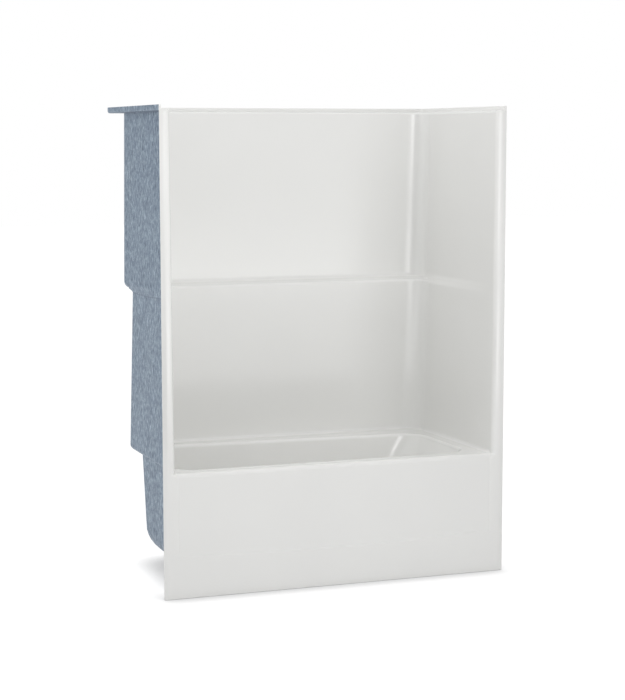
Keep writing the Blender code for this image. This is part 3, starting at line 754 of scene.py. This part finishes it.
def laminate():
    n = Nodes("fibre_laminate")
    strands, cross = [n.noise(turn=turn, **FIBRES) for turn in FIBRE_TURNS]
    fine = n.noise(**FINE_FIBRES)
    cloud = n.noise(9.0, (1, 1, 0.6), 2.0)
    mixed = n.math("ADD", n.math("MULTIPLY", strands, 0.42), n.math("MULTIPLY", cross, 0.38))
    mixed = n.math("ADD", mixed, n.math("MULTIPLY", fine, 0.2))
    shade = n.colours(mixed, (0.38, srgb(59, 77, 99)), (0.46, srgb(101, 120, 140)),
                      (0.54, srgb(127, 146, 164)), (0.62, srgb(171, 189, 204)))
    tint = n.colours(cloud, (0.35, (0.90, 0.92, 0.95)), (0.65, (1.0, 1.0, 1.0)))
    colour = n.mix(1.0, shade, tint, "MULTIPLY")
    split = n.add("SeparateXYZ", Vector=n.place)
    shift = n.span(n.noise(14.0), 0, 1, -SHADE_LINE_WANDER, SHADE_LINE_WANDER)
    wander = n.math("ADD", split.outputs["Z"], shift)
    forward = n.math("MAXIMUM", n.math("MULTIPLY", split.outputs["Y"], -1.0), 0.0)
    # Painted shade: a dark blue line along each outside crease, under the ledge's step and under the
    # flange's band
    for z, climb in PAINTED_SHADE_LINES:
        line = n.math("ADD", n.math("MULTIPLY", forward, climb), z)
        away = n.math("ABSOLUTE", n.math("SUBTRACT", wander, line))
        dark = n.span(away, *SHADE_LINE_EDGE, 0.55, 0.0)
        colour = n.mix(dark, colour, (*srgb(62, 80, 104), 1))
    n.bump(mixed, 0.0012, 0.8)
    rough = n.span(mixed, 0.35, 0.65, 0.62, 0.45)
    return n.finish(Base_Color=colour, Roughness=rough, IOR=1.55)


def timber(name, along, pale, dark):
    """Sawn softwood with its grain along one axis."""
    n = Nodes(name)
    stretch = [1.0, 1.0, 1.0]
    stretch[along] = GRAIN_STRETCH
    warp = n.noise(6.0, tuple(stretch), 2.0)
    grain = n.noise(GRAIN_SCALE, tuple(stretch), 3.0, 0.6)
    rings = n.math("SINE", n.math("MULTIPLY", warp, GRAIN_SCALE))
    value = n.math("ADD", n.math("MULTIPLY", rings, 0.18), grain)
    colour = n.colours(value, (0.28, dark), (0.72, pale))
    n.bump(grain, 0.0006, 0.7)
    return n.finish(Base_Color=colour, Roughness=n.span(grain, 0.3, 0.7, 0.78, 0.62))


def particle_board():
    n = Nodes("particle_board")
    cells = n.add("TexVoronoi", Vector=n.scaled((1, 1, 1.6)), Scale=240.0).outputs["Color"]
    grey = n.add("RGBToBW", Color=cells).outputs["Val"]
    fine = n.noise(500.0, detail=2.0)
    value = n.math("ADD", n.math("MULTIPLY", grey, 0.7), n.math("MULTIPLY", fine, 0.3))
    colour = n.colours(value, (0.2, srgb(150, 118, 78)), (0.5, srgb(188, 156, 112)),
                       (0.8, srgb(214, 186, 142)))
    n.bump(value, 0.0006, 0.7)
    return n.finish(Base_Color=colour, Roughness=n.span(value, 0.2, 0.8, 0.85, 0.7))


def dress(thing, finish):
    thing.data.materials.clear()
    thing.data.materials.append(finish)


def build_pieces():
    """The skin and the backing, in place of the frame's coarser solids, and all the finishes."""
    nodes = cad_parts
    sheet, zones, feet = build_sheet()
    normals = corner_normals(sheet)
    white, backing = gel_coat(), laminate()
    skin = shell_piece("gel_coat_skin", normals, list(sheet.faces), 0, SKIN, False, feet)
    dress(skin, white)
    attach(skin, "root")
    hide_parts("acrylic_skin")
    groups = {
        "flange": [n for n in nodes if n.startswith("laminate_flange")],
        "upper": [n for n in nodes if n.startswith("laminate_upper")],
        "lower": [n for n in nodes if n.startswith("laminate_lower")],
        "tub": [n for n in nodes if n.startswith("laminate_basin")],
        "front": [n for n in nodes if n.startswith(("laminate_apron", "laminate_column"))],
    }
    for zone, replaced in groups.items():
        faces = [f for f, name in zones.items() if name == zone]
        piece = shell_piece("backing_" + zone, normals, faces, SKIN + GAP, SHELL, True, feet)
        dress(piece, backing)
        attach(piece, "root")
        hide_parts(*sorted(replaced))
    sheet.free()
    pale, dark = srgb(219, 187, 142), srgb(196, 160, 114)
    lying = timber("softwood_lying", 0, pale, dark)
    deep = timber("softwood_blocks", 1, pale, dark)
    upright = timber("softwood_upright", 2, pale, dark)
    for name in ("apron_rail", "upper_back_batten", "lower_back_batten"):
        dress(nodes[name], lying)
    for name in sorted(nodes):
        if name.startswith("foot_block"):
            dress(nodes[name], deep)
        if name.startswith("rim_post"):
            dress(nodes[name], upright)
    dress(nodes["base_board"], particle_board())


def area_light(name, at, target, size, energy, diffuse, glossy):
    """A lamp with its place, target, size and watts, and whether diffuse and glossy rays see it."""
    data = bpy.data.lights.new(name, "AREA")
    data.shape = "RECTANGLE"
    data.size, data.size_y = size
    data.energy = energy
    thing = bpy.data.objects.new(name, data)
    thing.location = at
    thing.rotation_euler = (Vector(target) - Vector(at)).to_track_quat("-Z", "Y").to_euler()
    thing.visible_camera = False
    thing.visible_diffuse = diffuse
    thing.visible_glossy = glossy
    bpy.context.scene.collection.objects.link(thing)


def shown_rays(tree):
    """A value of 1 for rays from the camera and through or off glossy and clear surfaces."""
    rays = tree.nodes.new("ShaderNodeLightPath")
    value = rays.outputs["Is Camera Ray"]
    for kind in ("Is Glossy Ray", "Is Transmission Ray"):
        larger = tree.nodes.new("ShaderNodeMath")
        larger.operation = "MAXIMUM"
        tree.links.new(value, larger.inputs[0])
        tree.links.new(rays.outputs[kind], larger.inputs[1])
        value = larger.outputs["Value"]
    return value


# The world's level where it lights the unit, and its levels where the camera and gloss see it, by
# the height of the direction, -1 straight down to 1 straight up
ROOM_LEVEL = 0.575
BACKDROP_LEVELS = ((0.20, 1.0), (0.60, 0.25))
FLAG = ((-4.0, -0.5), -2.3, (0.3, 2.6))   # its span in x, its y, its span in z
FLOOR_HALF = 30.0
FLOOR_DROP = 0.0005
FLOOR_LIGHT = (0.70, 0.70, 0.70, 1)
FLOOR_SHOWN = (0.25, 0.25, 0.25, 1)
FLOOR_GLOW = 0.88
FLOOR_SHADED = 0.47
# The floor's glow dims with occlusion round the unit as a painted soft shadow, with no glow left
# under it
CONTACT_SHADOW = 0.13   # reach of the soft shadow round the foot
OPEN, BESIDE, UNDER = 1.0, 0.5, 0.3   # share of open sky: clear of the unit, beside it, under it
LAMPS = (
    ("near_left", (-0.61, -2.4, 1.95), (-0.61, 0, 1.95), (0.58, 0.9), 10.2, True, False),
    ("near_middle", (0.29, -2.4, 1.7), (0.29, 0, 1.7), (1.22, 1.4), 7.0, True, False),
    ("near_right", (1.185, -2.4, 1.7), (1.185, 0, 1.7), (0.57, 1.4), 3.7, True, False),
    ("left", (-1.9, -1.5, 1.8), (0.7, 0.2, 1.3), (0.8, 1.2), 3.2, True, False),
    ("side", (-5.0, 0.5, 2.6), (0, 0, 1.0), (2.5, 3.0), 42.0, True, False),
    ("over", (0.0, 0.0, 4.6), (0, 0, 0.8), (2.5, 2.0), 31.0, True, False),
    ("gloss_front", (0.60, -2.4, 1.45), (0.60, 0, 1.45), (1.80, 1.90), 11.5, False, True),
    ("gloss_left", (-1.35, -5.5, 1.83), (-1.35, 0, 1.83), (2.5, 1.35), 26.0, False, True),
    ("gloss_high", (0.6, -1.5, 3.8), (0, 0.2, 0.6), (1.8, 1.8), 7.5, False, True),
)


def build_world():
    """An even room, which the camera and gloss see as a white backdrop that falls off upwards."""
    world = bpy.data.worlds.new("studio")
    bpy.context.scene.world = world
    world.use_nodes = True
    tree = world.node_tree
    back = tree.nodes["Background"]
    back.inputs["Color"].default_value = (1, 1, 1, 1)
    coords = tree.nodes.new("ShaderNodeTexCoord")
    split = tree.nodes.new("ShaderNodeSeparateXYZ")
    tree.links.new(coords.outputs["Generated"], split.inputs["Vector"])
    height = tree.nodes.new("ShaderNodeMapRange")
    height.inputs["From Min"].default_value = -1
    tree.links.new(split.outputs["Z"], height.inputs["Value"])
    ramp = tree.nodes.new("ShaderNodeValToRGB")
    for mark, (z, shade) in zip(ramp.color_ramp.elements, BACKDROP_LEVELS):
        mark.position = (z + 1) / 2
        mark.color = (shade, shade, shade, 1)
    tree.links.new(height.outputs["Result"], ramp.inputs["Fac"])
    level = tree.nodes.new("ShaderNodeMix")
    level.inputs["A"].default_value = ROOM_LEVEL
    tree.links.new(shown_rays(tree), level.inputs["Factor"])
    tree.links.new(ramp.outputs["Color"], level.inputs["B"])
    tree.links.new(level.outputs["Result"], back.inputs["Strength"])


def card(name, corners):
    """A flat four-cornered piece of the studio."""
    mesh = bpy.data.meshes.new(name)
    mesh.from_pydata(corners, [], [(0, 1, 2, 3)])
    thing = bpy.data.objects.new(name, mesh)
    bpy.context.scene.collection.objects.link(thing)
    return thing


def build_floor():
    """A pale floor that shows white where nothing shades it. The lamps leave part of the unit's
    shadow on it, and its glow dims by occlusion near and under the unit as a painted shadow.
    """
    signs = ((-1, -1), (1, -1), (1, 1), (-1, 1))
    corners = [(x * FLOOR_HALF, y * FLOOR_HALF, -FLOOR_DROP) for x, y in signs]
    floor = card("studio_floor", corners)
    n = Nodes("studio_floor")
    camera = n.add("LightPath").outputs["Is Camera Ray"]
    colour = n.mix(camera, FLOOR_LIGHT, FLOOR_SHOWN)
    # Painted shadow: by ambient occlusion, the glow falls to FLOOR_SHADED beside the unit and to
    # nothing under it
    near = n.add("AmbientOcclusion", {"samples": 8}, Distance=CONTACT_SHADOW).outputs["AO"]
    level = n.span(near, BESIDE, OPEN, FLOOR_SHADED, FLOOR_GLOW)
    glow = n.math("MULTIPLY", shown_rays(n.tree), level)
    glow = n.math("MULTIPLY", glow, n.span(near, 0.0, UNDER, 0.0, 1.0))
    n.finish(Base_Color=colour, Roughness=0.9, Emission_Color=(1, 1, 1, 1), Emission_Strength=glow)
    dress(floor, n.material)


def build_flag():
    """A black card at the front left that only gloss shows, for the rear corner's dark band."""
    (left, right), y, (low, high) = FLAG
    flag = card("studio_flag", [(left, y, low), (right, y, low), (right, y, high), (left, y, high)])
    flag.visible_camera = False
    flag.visible_diffuse = False
    flag.visible_transmission = False
    flag.visible_shadow = False
    n = Nodes("studio_flag")
    dress(flag, n.finish(Base_Color=(0.02, 0.02, 0.02, 1), Roughness=0.9))


def build_camera():
    data = bpy.data.cameras.new("photo_camera")
    data.lens = LENS
    data.sensor_width = SENSOR
    data.sensor_fit = "AUTO"
    data.clip_end = 100
    camera = bpy.data.objects.new("photo_camera", data)
    right, up = Vector(CAMERA_RIGHT), Vector(CAMERA_UP)
    turn = Matrix((right, up, right.cross(up))).transposed()
    camera.matrix_world = Matrix.Translation(CAMERA_AT) @ turn.to_4x4()
    bpy.context.scene.collection.objects.link(camera)
    bpy.context.scene.camera = camera


build_camera()
build_world()
build_floor()
build_flag()
for spec in LAMPS:
    area_light(*spec)
build_pieces()
bpy.context.scene.view_settings.view_transform = "Standard"
